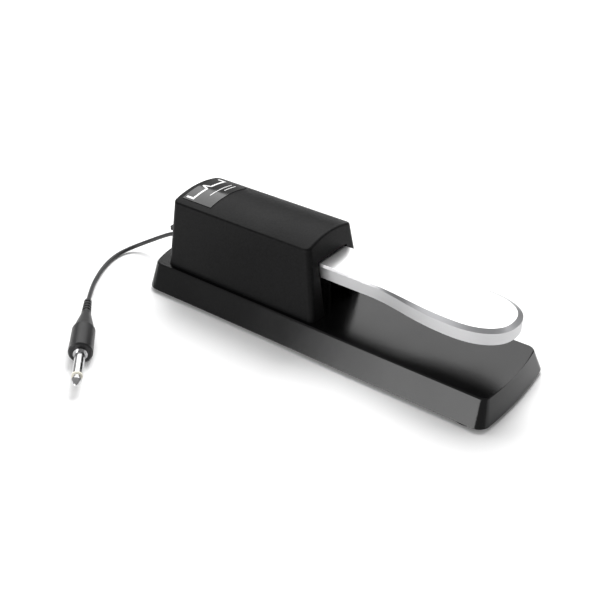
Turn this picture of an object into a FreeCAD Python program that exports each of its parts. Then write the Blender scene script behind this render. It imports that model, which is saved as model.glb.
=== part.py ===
import FreeCAD, Part
import math
import os
import re
import Sketcher
from FreeCAD import Placement, Rotation, Vector

# A piano-style sustain pedal: a metal foot lever in a black plastic housing
# on a long base, with a switch inside and a cord that ends in a phone plug.
# X runs along the pedal towards its tip, Y across it, and Z up from the floor.

SIZES = {
    # base
    "foot_height": 2.3,
    "foot_radius": 9.3,
    "foot_front_x": 113.0,
    "foot_front_y": 27.5,
    "foot_rear_x": -106.0,
    "foot_rear_y": 23.0,
    "base_length": 258.0,
    "base_half": 38.0,
    "base_corner": 10.0,
    "front_corner": 7.5,
    "deck_front": 125.2,
    "deck_rear": -127.0,
    "deck_half": 30.7,
    "deck_corner": 6.5,
    "front_deck_corner": 4.6,
    "deck_height": 17.7,
    "deck_under": 14.0,
    "rear_bow": 4.0,
    "front_bow": 1.7,
    "rim_edge": 0.8,
    "dish_depth": 0.8,
    "dish_half": 29.6,
    "tray_wall": 2.6,
    "seat_height": 16.6,
    "plate_thick": 1.8,
    "plate_gap": 1.4,
    # cover
    "cover_front": 5.7,
    "cover_rear": -112.8,
    "cover_half": 27.25,
    "cover_corner": 4.0,
    "top_front": -1.1,
    "top_rear": -108.7,
    "top_half": 22.3,
    "top_level": 62.6,
    "cover_wall": 2.2,
    "crown_radius": 64.2,
    "crest_height": 66.5,
    "slot_half": 14.6,
    "slot_top": 52.0,
    "column_x": 104.0,
    "column_front_x": 8.0,
    "column_y": 19.5,
    "column_radius": 3.8,
    "column_top": 28.0,
    # label
    "label_rear": -104.1,
    "label_front": -80.7,
    "label_half": 17.25,
    "label_thick": 0.35,
    # lever
    "pivot_x": -84.0,
    "pivot_z": 46.7,
    "lever_top": 51.0,
    "lever_under": 42.3,
    "lever_tail": -97.0,
    "neck_half": 12.9,
    "neck_front": 36.0,
    "neck_front_half": 14.2,
    "swell_x": 62.0,
    "swell_half": 18.1,
    "blade_x": 92.0,
    "blade_half": 21.9,
    "cheek_x": 110.0,
    "cheek_half": 19.0,
    "nose_x": 120.2,
    "nose_half": 10.8,
    "tip_x": 123.0,
    "bevel_neck": 0.7,
    "bevel_tip": 3.2,
    "bevel_drop": 1.5,
    "lever_skin": 3.0,
    "lever_wall": 2.4,
    "hollow_start": -72.0,
    # pivot
    "pin_radius": 3.0,
    "pin_reach": 18.6,
    "pin_fit": 0.05,
    "bush_radius": 4.2,
    "bush_flange": 6.4,
    "barrel_radius": 7.5,
    "ear_inside": 14.2,
    "ear_thick": 2.0,
    "ear_radius": 10.0,
    # spring and stops
    "spring_x": -22.0,
    "spring_radius": 6.4,
    "wire_radius": 0.8,
    "spring_turns": 6.5,
    "spring_low": 18.6,
    "spring_high": 43.9,
    "stop_x": -6.0,
    "stop_radius": 5.0,
    "stop_post_top": 31.4,
    "stop_pad_top": 34.2,
    # switch
    "switch_rear": -64.0,
    "switch_length": 27.8,
    "switch_half": 5.15,
    "switch_low": 18.8,
    "switch_high": 34.7,
    "switch_screw_inset": 2.8,
    "switch_screw_z": 22.0,
    "leaf_pivot_x": -62.0,
    "leaf_pivot_z": 35.6,
    "leaf_tip_x": -39.0,
    "leaf_tip_z": 39.8,
    "plunger_x": -55.0,
    "plunger_radius": 1.0,
    "plunger_top": 36.1,
    "nib_under": 40.1,
    # polarity switch
    "polarity_y": -16.5,
    "polarity_z": 40.5,
    "polarity_rest": 39.0,
    "polarity_face": -107.5,
    "knob_end": -116.8,
    # cord and plug
    "cord_radius": 1.4,
    "cord_z": 27.6,
    "relief_length": 13.0,
    "relief_tilt": 12.0,
    "clamp_x": -102.0,
    "plug_x": -133.0,
    "plug_y": -80.2,
    "plug_z": 7.3,
    "relief_back": 2.35,
    "relief_front": 3.15,
    "relief_run": 15.8,
    "cone_run": 17.8,
    "barrel_run": 23.3,
    "barrel_back": 7.1,
    "barrel_front": 7.3,
    "sleeve_radius": 3.175,
    "sleeve_run": 21.5,
    "ring_run": 1.3,
    "tip_run": 8.6,
}

# The room left for solder between a wire and its terminal.
SOLDER_GAP = 0.45

# The plug lies flat on the floor and points this way.
PLUG_WAY = Vector(0.686, -0.728, 0.0).normalize()

# The cord's route in plain millimetres, from the relief to the plug.
CORD_ROUTE = [
    (-124.70, 0.0, 24.90),
    (-134.2, -0.1, 21.4),
    (-145.6, -0.4, 15.0),
    (-155.6, -1.2, 9.0),
    (-163.6, -4.4, 4.6),
    (-168.6, -11.0, 2.2),
    (-169.9, -20.0, 1.6),
    (-167.4, -31.5, 1.5),
    (-161.6, -44.5, 1.5),
    (-153.8, -57.0, 1.9),
    (-144.6, -67.6, 4.2),
    (-133.0, -80.2, 7.3),
]

doc = FreeCAD.newDocument("sustain_pedal")
sheet = doc.addObject("Spreadsheet::Sheet", "Sizes")
for row, (alias, size) in enumerate(SIZES.items(), start=1):
    sheet.set("A%d" % row, alias)
    sheet.set("B%d" % row, str(size))
    sheet.setAlias("B%d" % row, alias)
doc.recompute()

ALIAS = re.compile(r"\b(" + "|".join(sorted(SIZES, key=len, reverse=True)) + r")\b")
UPRIGHT = Rotation()
ALONG_X = Rotation(Vector(0, 1, 0), 90)
ALONG_Y = Rotation(Vector(1, 0, 0), -90)
TURNS = {"x": ALONG_X, "y": ALONG_Y, "z": UPRIGHT}

nodes = {}


def bound(size):
    """The same expression with each name pointing at its cell."""
    return ALIAS.sub(r"Sizes.\1", str(size))


def bind(made, place, size):
    made.setExpression(place, bound(size))


def number(size):
    """The value of a size, a plain number or an expression of names."""
    return float(sheet.evalExpression(bound(size)))


def block(name, x, y, z):
    """A box from three (low, high) pairs."""
    made = doc.addObject("Part::Box", name)
    for side, axis, (low, high) in (("Length", "x", x), ("Width", "y", y), ("Height", "z", z)):
        bind(made, side, "(%s) - (%s)" % (high, low))
        bind(made, "Placement.Base." + axis, low)
    return made


def rod(name, axis, radius, span, centre):
    """A cylinder along one axis, over a (low, high) span, at two centre sizes."""
    made = doc.addObject("Part::Cylinder", name)
    made.Placement = Placement(Vector(), TURNS[axis])
    bind(made, "Radius", radius)
    bind(made, "Height", "(%s) - (%s)" % (span[1], span[0]))
    bind(made, "Placement.Base." + axis, span[0])
    for other, size in zip([one for one in "xyz" if one != axis], centre):
        bind(made, "Placement.Base." + other, size)
    return made


def join(name, *pieces):
    made = doc.addObject("Part::MultiFuse", name)
    made.Shapes = list(pieces)
    made.Refine = True
    return made


def cut(name, base, *tools):
    made = doc.addObject("Part::Cut", name)
    made.Base = base
    made.Tool = tools[0] if len(tools) == 1 else join(name + "_tools", *tools)
    made.Refine = True
    return made


def common(name, first, second):
    made = doc.addObject("Part::Common", name)
    made.Base = first
    made.Tool = second
    return made


def group(name, *pieces):
    """Identical fasteners kept as separate solids in one node."""
    made = doc.addObject("Part::Compound", name)
    made.Links = list(pieces)
    return made


def keep(label, made):
    made.Label = label
    nodes[label] = made
    return made


def body(name):
    return doc.addObject("PartDesign::Body", name)


def sketch(owner, role, name, lift=0):
    made = owner.newObject("Sketcher::SketchObject", name)
    plane = [face for face in owner.Origin.OriginFeatures if face.Role == role][0]
    made.AttachmentSupport = [(plane, "")]
    made.MapMode = "FlatFace"
    bind(made, "AttachmentOffset.Base.z", lift)
    return made


def hold(drawing, kind, first, second, size):
    """One bound distance or radius in a sketch."""
    places = list(first) + list(second or ())
    index = drawing.addConstraint(Sketcher.Constraint(kind, *places, number(size)))
    bind(drawing, "Constraints[%d]" % index, size)


def polygon(drawing, corners):
    """A closed outline of straight lines with every corner bound to its sizes."""
    count = len(corners)
    points = [Vector(number(x), number(y), 0) for x, y in corners]
    for one in range(count):
        drawing.addGeometry(Part.LineSegment(points[one], points[(one + 1) % count]))
    for one in range(count):
        drawing.addConstraint(Sketcher.Constraint("Coincident", one, 2, (one + 1) % count, 1))
    for one, (x, y) in enumerate(corners):
        hold(drawing, "DistanceX", (-1, 1), (one, 1), x)
        hold(drawing, "DistanceY", (-1, 1), (one, 1), y)


def turned(name, corners):
    """A body of revolution about Z from (radius, height) corners."""
    made = body(name)
    profile = sketch(made, "XZ_Plane", name + "_profile")
    polygon(profile, corners)
    spin = made.newObject("PartDesign::Revolution", name + "_turned")
    spin.Profile = profile
    spin.ReferenceAxis = (profile, ["V_Axis"])
    spin.Angle = 360
    return made


def rounded_rectangle(drawing, rear, front, half, corner):
    """A rectangle with four tangent corner arcs, symmetric about X."""
    x_low, x_high, y_high, radius = number(rear), number(front), number(half), number(corner)
    sides = [
        ((x_low + radius, -y_high), (x_high - radius, -y_high)),
        ((x_high, radius - y_high), (x_high, y_high - radius)),
        ((x_high - radius, y_high), (x_low + radius, y_high)),
        ((x_low, y_high - radius), (x_low, radius - y_high)),
    ]
    centres = [
        (x_high - radius, radius - y_high),
        (x_high - radius, y_high - radius),
        (x_low + radius, y_high - radius),
        (x_low + radius, radius - y_high),
    ]
    for one in range(4):
        start, end = sides[one]
        drawing.addGeometry(Part.LineSegment(Vector(*start, 0), Vector(*end, 0)))
        circle = Part.Circle(Vector(*centres[one], 0), Vector(0, 0, 1), radius)
        begin = math.radians(90 * one - 90)
        drawing.addGeometry(Part.ArcOfCircle(circle, begin, begin + math.pi / 2))
    for one in range(4):
        line, arc, following = 2 * one, 2 * one + 1, (2 * one + 2) % 8
        drawing.addConstraint(Sketcher.Constraint("Tangent", line, 2, arc, 1))
        drawing.addConstraint(Sketcher.Constraint("Tangent", arc, 2, following, 1))
        hold(drawing, "Radius", (arc,), None, corner)
    drawing.addConstraint(Sketcher.Constraint("Horizontal", 0))
    drawing.addConstraint(Sketcher.Constraint("Vertical", 2))
    hold(drawing, "DistanceY", (-1, 1), (0, 1), "-(%s)" % half)
    hold(drawing, "DistanceY", (-1, 1), (4, 1), half)
    hold(drawing, "DistanceX", (-1, 1), (2, 1), front)
    hold(drawing, "DistanceX", (-1, 1), (6, 1), rear)


def bowed_outline(drawing, ends, half, corners, bows):
    """Straight sides, bowed ends and tangent corners; each pair is (rear, front)."""
    y_high = number(half)
    shapes = []
    for end, corner, bow in zip(ends, corners, bows):
        radius, rise = number(corner), number(bow)
        span = y_high - radius
        big = (span * span + rise * rise) / (2 * rise)
        reach = math.sqrt((big - radius) ** 2 - span ** 2)
        shapes.append((number(end), radius, span, big, reach, math.atan2(span, reach)))
    x_low, rear_radius, rear_span, rear_big, rear_reach, rear_lean = shapes[0]
    x_high, front_radius, front_span, front_big, front_reach, front_lean = shapes[1]
    front_centre, rear_centre = x_high - front_big, x_low + rear_big
    front_corner, rear_corner = front_centre + front_reach, rear_centre - rear_reach

    def line(start, end):
        drawing.addGeometry(Part.LineSegment(Vector(*start, 0), Vector(*end, 0)))

    def arc(centre, size, begin, end):
        circle = Part.Circle(Vector(*centre, 0), Vector(0, 0, 1), size)
        drawing.addGeometry(Part.ArcOfCircle(circle, begin, end))

    line((rear_corner, -y_high), (front_corner, -y_high))
    arc((front_corner, -front_span), front_radius, -math.pi / 2, -front_lean)
    arc((front_centre, 0), front_big, -front_lean, front_lean)
    arc((front_corner, front_span), front_radius, front_lean, math.pi / 2)
    line((front_corner, y_high), (rear_corner, y_high))
    arc((rear_corner, rear_span), rear_radius, math.pi / 2, math.pi - rear_lean)
    arc((rear_centre, 0), rear_big, math.pi - rear_lean, math.pi + rear_lean)
    arc((rear_corner, -rear_span), rear_radius, math.pi + rear_lean, 1.5 * math.pi)
    for one in range(8):
        drawing.addConstraint(Sketcher.Constraint("Tangent", one, 2, (one + 1) % 8, 1))
    drawing.addConstraint(Sketcher.Constraint("Horizontal", 0))
    hold(drawing, "DistanceY", (-1, 1), (0, 1), "-(%s)" % half)
    hold(drawing, "DistanceY", (-1, 1), (4, 1), half)
    for one, corner in ((1, corners[1]), (3, corners[1]), (5, corners[0]), (7, corners[0])):
        hold(drawing, "Radius", (one,), None, corner)
    for one, end, corner, bow, sign in zip((6, 2), ends, corners, bows, "+-"):
        bend = "(pow(%s - (%s); 2) + pow(%s; 2)) / (2 * %s)" % (half, corner, bow, bow)
        hold(drawing, "Radius", (one,), None, bend)
        hold(drawing, "DistanceX", (-1, 1), (one, 3), "%s %s %s" % (end, sign, bend))


def loft(owner, name, kind, profile, section):
    made = owner.newObject("PartDesign::" + kind, name)
    made.Profile = profile
    made.Sections = [section]
    made.Ruled = True
    return made


def screw(name, axis, radius, length, head_radius, head, at, flip=1):
    """A pan-head screw: the head's underside sits at the given place."""
    across = dict(zip("xyz", at))
    start = across[axis]
    centre = [across[one] for one in "xyz" if one != axis]
    if flip > 0:
        shank_span = (start, "%s + %s" % (start, length))
        head_span = ("%s - %s" % (start, head), start)
        slot_span = ("%s - %s - 0.1" % (start, head), "%s - %s" % (start, head * 0.45))
    else:
        shank_span = ("%s - %s" % (start, length), start)
        head_span = (start, "%s + %s" % (start, head))
        slot_span = ("%s + %s" % (start, head * 0.45), "%s + %s + 0.1" % (start, head))
    shank = rod(name + "_shank", axis, radius, shank_span, centre)
    cap = rod(name + "_head", axis, head_radius, head_span, centre)
    solid = join(name + "_solid", shank, cap)
    slots = []
    others = [one for one in "xyz" if one != axis]
    arm = head_radius * 0.6
    for order, (wide, narrow) in enumerate((others, others[::-1])):
        spans = {
            axis: slot_span,
            wide: ("%s - %s" % (across[wide], arm), "%s + %s" % (across[wide], arm)),
            narrow: ("%s - 0.35" % across[narrow], "%s + 0.35" % across[narrow]),
        }
        slots.append(block("%s_slot_%d" % (name, order), spans["x"], spans["y"], spans["z"]))
    return cut(name, solid, *slots)


def bent_path(points, share=0.45):
    """Straight runs joined by tangent arcs, and the arcs' radii."""
    corners = [Vector(*point) for point in points]
    edges = []
    radii = []
    start = corners[0]
    for before, here, after in zip(corners, corners[1:], corners[2:]):
        come = (here - before)
        leave = (after - here)
        back = share * min(come.Length, leave.Length)
        turn = come.getAngle(leave)
        radii.append(back / math.tan(turn / 2))
        come.normalize()
        leave.normalize()
        enter = here - come * back
        depart = here + leave * back
        inward = (leave - come).normalize()
        middle = here + inward * (radii[-1] / math.cos(turn / 2) - radii[-1])
        edges.append(Part.LineSegment(start, enter).toShape())
        edges.append(Part.Arc(enter, middle, depart).toShape())
        start = depart
    edges.append(Part.LineSegment(start, corners[-1]).toShape())
    return Part.Wire(edges), radii


def tube_shape(points, radius):
    path, radii = bent_path(points)
    first = Vector(*points[0])
    way = (Vector(*points[1]) - first).normalize()
    ring = Part.Wire(Part.Circle(first, way, radius).toShape())
    solid = path.makePipeShell([ring], True, False)
    return solid, path.Length, radii


def shaped(name, shape, place=None):
    """A solid worked out from the sheet with Part's own functions."""
    made = doc.addObject("Part::Feature", name)
    made.Shape = shape
    if place is not None:
        made.Placement = place
    return made


# ---------------------------------------------------------------- the base

PLATE_SCREWS = [(-118, 0), (-50, 27), (-50, -27), (45, 27), (45, -27), (117, 0)]
BRACKET_SCREWS = [(-93, 9), (-93, -9), (-75, 9), (-75, -9)]
COVER_SCREWS = [("-column_x", "column_y"), ("-column_x", "-column_y"),
                ("-column_front_x", "column_y"), ("-column_front_x", "-column_y")]


def tray_walls():
    """The tapered outer shell with its hollow underside."""
    made = body("tray_walls")
    bows = ("rear_bow", "front_bow")
    rim_corners = ("deck_corner", "front_deck_corner")
    low = sketch(made, "XY_Plane", "tray_bottom", "foot_height")
    bowed_outline(low, ("-base_length / 2", "base_length / 2"), "base_half",
                  ("base_corner", "front_corner"), bows)
    high = sketch(made, "XY_Plane", "tray_rim", "deck_height - rim_edge")
    bowed_outline(high, ("deck_rear", "deck_front"), "deck_half", rim_corners, bows)
    loft(made, "tray_outside", "AdditiveLoft", low, high)
    ring = sketch(made, "XY_Plane", "tray_rim_low", "deck_height - rim_edge")
    bowed_outline(ring, ("deck_rear", "deck_front"), "deck_half", rim_corners, bows)
    deck = sketch(made, "XY_Plane", "tray_deck", "deck_height")
    bowed_outline(deck, ("deck_rear + rim_edge", "deck_front - rim_edge"), "deck_half - rim_edge",
                  [size + " - rim_edge" for size in rim_corners], bows)
    loft(made, "tray_bevel", "AdditiveLoft", ring, deck)
    inner_low = sketch(made, "XY_Plane", "hollow_bottom", "foot_height - 0.01")
    bowed_outline(inner_low, ("tray_wall - base_length / 2", "base_length / 2 - tray_wall"),
                  "base_half - tray_wall", ("base_corner - tray_wall", "front_corner - tray_wall"), bows)
    inner_high = sketch(made, "XY_Plane", "hollow_top", "deck_under")
    bowed_outline(inner_high, ("deck_rear + tray_wall - 0.5", "deck_front - tray_wall + 0.9"),
                  "deck_half - tray_wall + 1.75",
                  ("deck_corner - tray_wall + 0.6", "front_deck_corner - tray_wall + 0.6"), bows)
    loft(made, "tray_hollow", "SubtractiveLoft", inner_low, inner_high)
    return made


def base_tray():
    """The moulded base: deck, skirt, screw bosses, stop post and switch wall."""
    hollow_radius = "(dish_half * dish_half + dish_depth * dish_depth) / (2 * dish_depth)"
    dish = rod("deck_dish", "x", hollow_radius, ("-base_length", "base_length"),
               ("0", "deck_height - dish_depth + " + hollow_radius))
    seat = body("cover_seat")
    outline = sketch(seat, "XY_Plane", "seat_outline", "seat_height")
    rounded_rectangle(outline, "cover_rear - 0.12", "cover_front + 0.12", "cover_half + 0.12",
                      "cover_corner + 0.12")
    pad = seat.newObject("PartDesign::Pad", "seat_pad")
    pad.Profile = outline
    bind(pad, "Length", "3")
    shell = cut("tray_shell", tray_walls(), dish, seat)
    added = [
        rod("stop_post", "z", "stop_radius", ("seat_height - 1", "stop_post_top"), ("stop_x", "0")),
        block("switch_wall", ("switch_rear", "switch_rear + switch_length"), ("5.3", "8.3"),
              ("seat_height - 1", "switch_high + 1")),
        block("switch_step", ("switch_rear", "switch_rear + switch_length"), ("-switch_half", "6"),
              ("seat_height - 1", "switch_low")),
        block("clamp_block", ("clamp_x - 3", "clamp_x + 3"), ("-9", "9"),
              ("seat_height - 1", "cord_z - 0.1")),
    ]
    holes = []
    for order, (x, y) in enumerate(PLATE_SCREWS):
        added.append(rod("plate_boss_%d" % order, "z", "3.6",
                         ("foot_height + plate_thick", "deck_under + 0.5"), (x, y)))
        holes.append(rod("plate_hole_%d" % order, "z", "1.55", ("foot_height", "12"), (x, y)))
    for order, (x, y) in enumerate(BRACKET_SCREWS):
        added.append(rod("bracket_boss_%d" % order, "z", "3.8", ("6.5", "deck_under + 0.5"), (x, y)))
        holes.append(rod("bracket_hole_%d" % order, "z", "1.8", ("8", "seat_height + 1"), (x, y)))
    for order, (x, y) in enumerate(COVER_SCREWS):
        holes.append(rod("cover_hole_%d" % order, "z", "1.75", ("10", "seat_height + 1"), (x, y)))
    for order, x in enumerate(switch_screw_places()):
        holes.append(rod("switch_hole_%d" % order, "y", "1.3", ("0", "9"), (x, "switch_screw_z")))
    for order, y in enumerate(("-6", "6")):
        holes.append(rod("clamp_hole_%d" % order, "z", "1.3", ("cord_z - 8", "cord_z + 2"),
                         ("clamp_x", y)))
    holes.append(rod("cord_groove", "x", "cord_radius + 0.02", ("clamp_x - 4", "clamp_x + 4"),
                     ("0", "cord_z")))
    return keep("base_tray", cut("base_tray_part", join("tray_solid", shell, *added), *holes))


def bottom_plate():
    """Sheet steel that closes the base and gives it weight."""
    made = body("plate_body")
    outline = sketch(made, "XY_Plane", "plate_outline", "foot_height")
    bowed_outline(outline, ("tray_wall + plate_gap - base_length / 2",
                            "base_length / 2 - tray_wall - plate_gap"),
                  "base_half - tray_wall - plate_gap",
                  ("base_corner - tray_wall", "front_corner - tray_wall"), ("rear_bow", "front_bow"))
    pad = made.newObject("PartDesign::Pad", "plate_pad")
    pad.Profile = outline
    bind(pad, "Length", "plate_thick")
    holes = [rod("plate_screw_hole_%d" % order, "z", "1.7", ("0", "foot_height + 3"), (x, y))
             for order, (x, y) in enumerate(PLATE_SCREWS)]
    keep("bottom_plate", cut("plate_part", made, *holes))
    keep("plate_screws", group("plate_screw_group", *[
        screw("plate_screw_%d" % order, "z", 1.5, "8", 3.0, 1.4, (x, y, "foot_height"))
        for order, (x, y) in enumerate(PLATE_SCREWS)]))


def rubber_feet():
    """Four glued rubber discs with a small bevel at the floor."""
    for label, x, y in (("foot_front_left", "foot_front_x", "-foot_front_y"),
                        ("foot_front_right", "foot_front_x", "foot_front_y"),
                        ("foot_rear_left", "foot_rear_x", "-foot_rear_y"),
                        ("foot_rear_right", "foot_rear_x", "foot_rear_y")):
        foot = turned(label + "_body", [
            ("0", "0"), ("foot_radius - 0.6", "0"), ("foot_radius", "0.6"),
            ("foot_radius", "foot_height"), ("0", "foot_height")])
        bind(foot, "Placement.Base.x", x)
        bind(foot, "Placement.Base.y", y)
        keep(label, foot)


# ---------------------------------------------------------------- the cover

def cover_form(name, inset, low, high):
    """The tapered housing form, inset by a wall and capped by the crown."""
    rise = "(top_level - seat_height)"
    made = body(name + "_form")
    start = sketch(made, "XY_Plane", name + "_low", low)
    end = sketch(made, "XY_Plane", name + "_high", high)
    for drawing, level in ((start, low), (end, high)):
        part_way = "((%s - seat_height) / %s)" % (level, rise)
        rounded_rectangle(
            drawing,
            "cover_rear + (top_rear - cover_rear) * %s + %s" % (part_way, inset),
            "cover_front + (top_front - cover_front) * %s - %s" % (part_way, inset),
            "cover_half + (top_half - cover_half) * %s - %s" % (part_way, inset),
            "cover_corner - %s * 0.8" % inset)
    loft(made, name + "_loft", "AdditiveLoft", start, end)
    crown = rod(name + "_crown", "x", "crown_radius - %s" % inset, ("-160", "60"),
                ("0", "crest_height - crown_radius"))
    return common(name, made, crown)


def rounded_top(form):
    """Soft edges where the crown meets the four walls."""
    doc.recompute()
    level = number("top_level") - 3
    made = doc.addObject("Part::Fillet", "cover_outside")
    made.Base = form
    made.Edges = [(index + 1, 1.5, 1.5) for index, edge in enumerate(form.Shape.Edges)
                  if edge.BoundBox.ZMin > level]
    return made


def top_cover():
    """The housing shell with its lever slot, screw columns and switch seats."""
    outside = rounded_top(cover_form("cover_outer", "0", "seat_height", "68"))
    inside = cover_form("cover_inner", "cover_wall", "seat_height - 0.5", "68")
    shell = cut("cover_shell", outside, inside)
    added = []
    holes = [
        block("lever_slot", ("cover_front - 18", "cover_front + 5"), ("-slot_half", "slot_half"),
              ("seat_height - 1", "slot_top")),
        block("polarity_slot", ("-120", "-105"), ("polarity_y - 2", "polarity_y + 2"),
              ("polarity_z - 5", "polarity_z + 5")),
        rod("cord_hole", "x", "3.6", ("-120", "-105"), ("0", "cord_z")),
    ]
    for order, (x, y) in enumerate(COVER_SCREWS):
        added.append(rod("column_%d" % order, "z", "column_radius", ("seat_height", "column_top"),
                         (x, y)))
        holes.append(rod("column_hole_%d" % order, "z", "1.45", ("seat_height - 1", "column_top - 2"),
                         (x, y)))
        wall = ("column_y", "cover_half - cover_wall * 0.6") if order % 2 == 0 else (
            "cover_wall * 0.6 - cover_half", "-column_y")
        added.append(block("column_web_%d" % order, ("%s - 1" % x, "%s + 1" % x), wall,
                           ("seat_height", "column_top - 3")))
    for order, z in enumerate(("polarity_z - 8", "polarity_z + 8")):
        added.append(rod("polarity_boss_%d" % order, "x", "2.4",
                         ("cover_rear + 3.2", "polarity_face"), ("polarity_y", z)))
        holes.append(rod("polarity_hole_%d" % order, "x", "1.05",
                         ("polarity_face - 2.5", "polarity_face + 1"), ("polarity_y", z)))
    roof = [block("roof_rib_%d" % order, ("stop_x - 4", "stop_x"), ("%s - 1" % y, "%s + 1" % y),
                  ("lever_top + 2.6", "crest_height - cover_wall * 0.6"))
            for order, y in enumerate(("-8", "8"))]
    roof.append(block("roof_rib_bar", ("stop_x - 6", "stop_x + 2"), ("-11", "11"),
                      ("lever_top + 2.6", "lever_top + 4.2")))
    trimmed = common("roof_inside", join("roof_ribs", *roof), outside)
    keep("top_cover", cut("cover_part", join("cover_solid", shell, trimmed, *added), *holes))
    keep("cover_screws", group("cover_screw_group", *[
        screw("cover_screw_%d" % order, "z", 1.4, "11", 3.1, 2.0, (x, y, "deck_under"))
        for order, (x, y) in enumerate(COVER_SCREWS)]))


def label_plate():
    """A thin glossy plate that follows the crown of the cover."""
    patch = block("label_patch", ("label_rear", "label_front"), ("-label_half", "label_half"),
                  ("crest_height - 8", "crest_height + 3"))
    outside = rod("label_outside", "x", "crown_radius + label_thick",
                  ("label_rear - 5", "label_front + 5"), ("0", "crest_height - crown_radius"))
    inside = rod("label_inside", "x", "crown_radius", ("label_rear - 6", "label_front + 6"),
                 ("0", "crest_height - crown_radius"))
    skin = cut("label_skin", outside, inside)
    keep("label_plate", common("label_part", skin, patch))


# ---------------------------------------------------------------- the lever

def blade_edge(neck_inset, tip_inset):
    """The lever's curved side from the neck round the tip, inset a little."""
    stations = [("neck_front", "neck_front_half"), ("swell_x", "swell_half"),
                ("blade_x", "blade_half"), ("cheek_x", "cheek_half"), ("nose_x", "nose_half")]
    near = []
    for order, (x, half) in enumerate(stations):
        part = min(order / 2.0, 1.0)
        inset = neck_inset + (tip_inset - neck_inset) * part
        lean = 0.0 if order < 3 else (0.55, 0.85)[order - 3]
        near.append((number(x) - inset * lean, number(half) - inset * math.sqrt(1 - lean * lean)))
    tip = (number("tip_x") - tip_inset, 0.0)
    points = [Vector(x, -half, 0) for x, half in near] + [Vector(*tip, 0)]
    points += [Vector(x, half, 0) for x, half in reversed(near)]
    slope = number("(neck_front_half - neck_half) / (neck_front - pivot_x)")
    curve = Part.BSplineCurve()
    curve.interpolate(Points=points, InitialTangent=Vector(1, -slope, 0),
                      FinalTangent=Vector(-1, -slope, 0))
    return curve, points[0], points[-1]


def lever_outline(drawing, rear, rear_half, neck_inset, tip_inset):
    curve, start, end = blade_edge(neck_inset, tip_inset)
    corner_low = Vector(number(rear), -number(rear_half), 0)
    corner_high = Vector(number(rear), number(rear_half), 0)
    drawing.addGeometry(curve)
    drawing.addGeometry(Part.LineSegment(end, corner_high))
    drawing.addGeometry(Part.LineSegment(corner_high, corner_low))
    drawing.addGeometry(Part.LineSegment(corner_low, start))


def pedal_lever():
    """The cast lever: bevelled blade, hollow underside, pivot barrel and ribs."""
    blade = body("lever_blade")
    low = sketch(blade, "XY_Plane", "lever_side", "lever_under")
    lever_outline(low, "lever_tail", "neck_half", 0.0, 0.0)
    side = blade.newObject("PartDesign::Pad", "lever_pad")
    side.Profile = low
    bind(side, "Length", "lever_top - lever_under - bevel_drop")
    shoulder = sketch(blade, "XY_Plane", "lever_shoulder", "lever_top - bevel_drop")
    lever_outline(shoulder, "lever_tail", "neck_half", 0.0, 0.0)
    crown = sketch(blade, "XY_Plane", "lever_crown", "lever_top")
    lever_outline(crown, "lever_tail", "neck_half - bevel_neck", number("bevel_neck"), number("bevel_tip"))
    loft(blade, "lever_bevel", "AdditiveLoft", shoulder, crown)
    hollow = sketch(blade, "XY_Plane", "lever_hollow", "lever_under")
    lever_outline(hollow, "hollow_start", "neck_half - lever_wall", number("lever_wall"),
                  number("lever_wall"))
    pocket = blade.newObject("PartDesign::Pocket", "lever_pocket")
    pocket.Profile = hollow
    pocket.Reversed = True
    bind(pocket, "Length", "lever_top - lever_under - lever_skin")
    roof = "lever_top - lever_skin + 0.5"
    added = [
        rod("pivot_barrel", "y", "barrel_radius", ("-neck_half", "neck_half"), ("pivot_x", "pivot_z")),
        rod("spring_pad", "z", "8.4", ("spring_high", roof), ("spring_x", "0")),
        rod("spring_pilot", "z", "4.4", ("spring_high - 3.2", roof), ("spring_x", "0")),
        block("stop_anvil", ("stop_x - 5", "stop_x + 5"), ("-11", "11"), ("lever_under", roof)),
        block("switch_nib", ("leaf_tip_x - 3", "leaf_tip_x"), ("-4", "4"), ("nib_under", roof)),
    ]
    for order, (x, half) in enumerate(((-34, 11), (20, 12), (58, 16), (92, 20))):
        added.append(block("cross_rib_%d" % order, (x, x + 2), (-half, half), ("lever_under + 1.2", roof)))
    added.append(block("long_rib", ("20", "117"), ("-1", "1"), ("lever_under + 1.2", roof)))
    bore = rod("barrel_bore", "y", "bush_radius", ("-20", "20"), ("pivot_x", "pivot_z"))
    keep("pedal_lever", cut("lever_part", join("lever_solid", blade, *added), bore))


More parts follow.
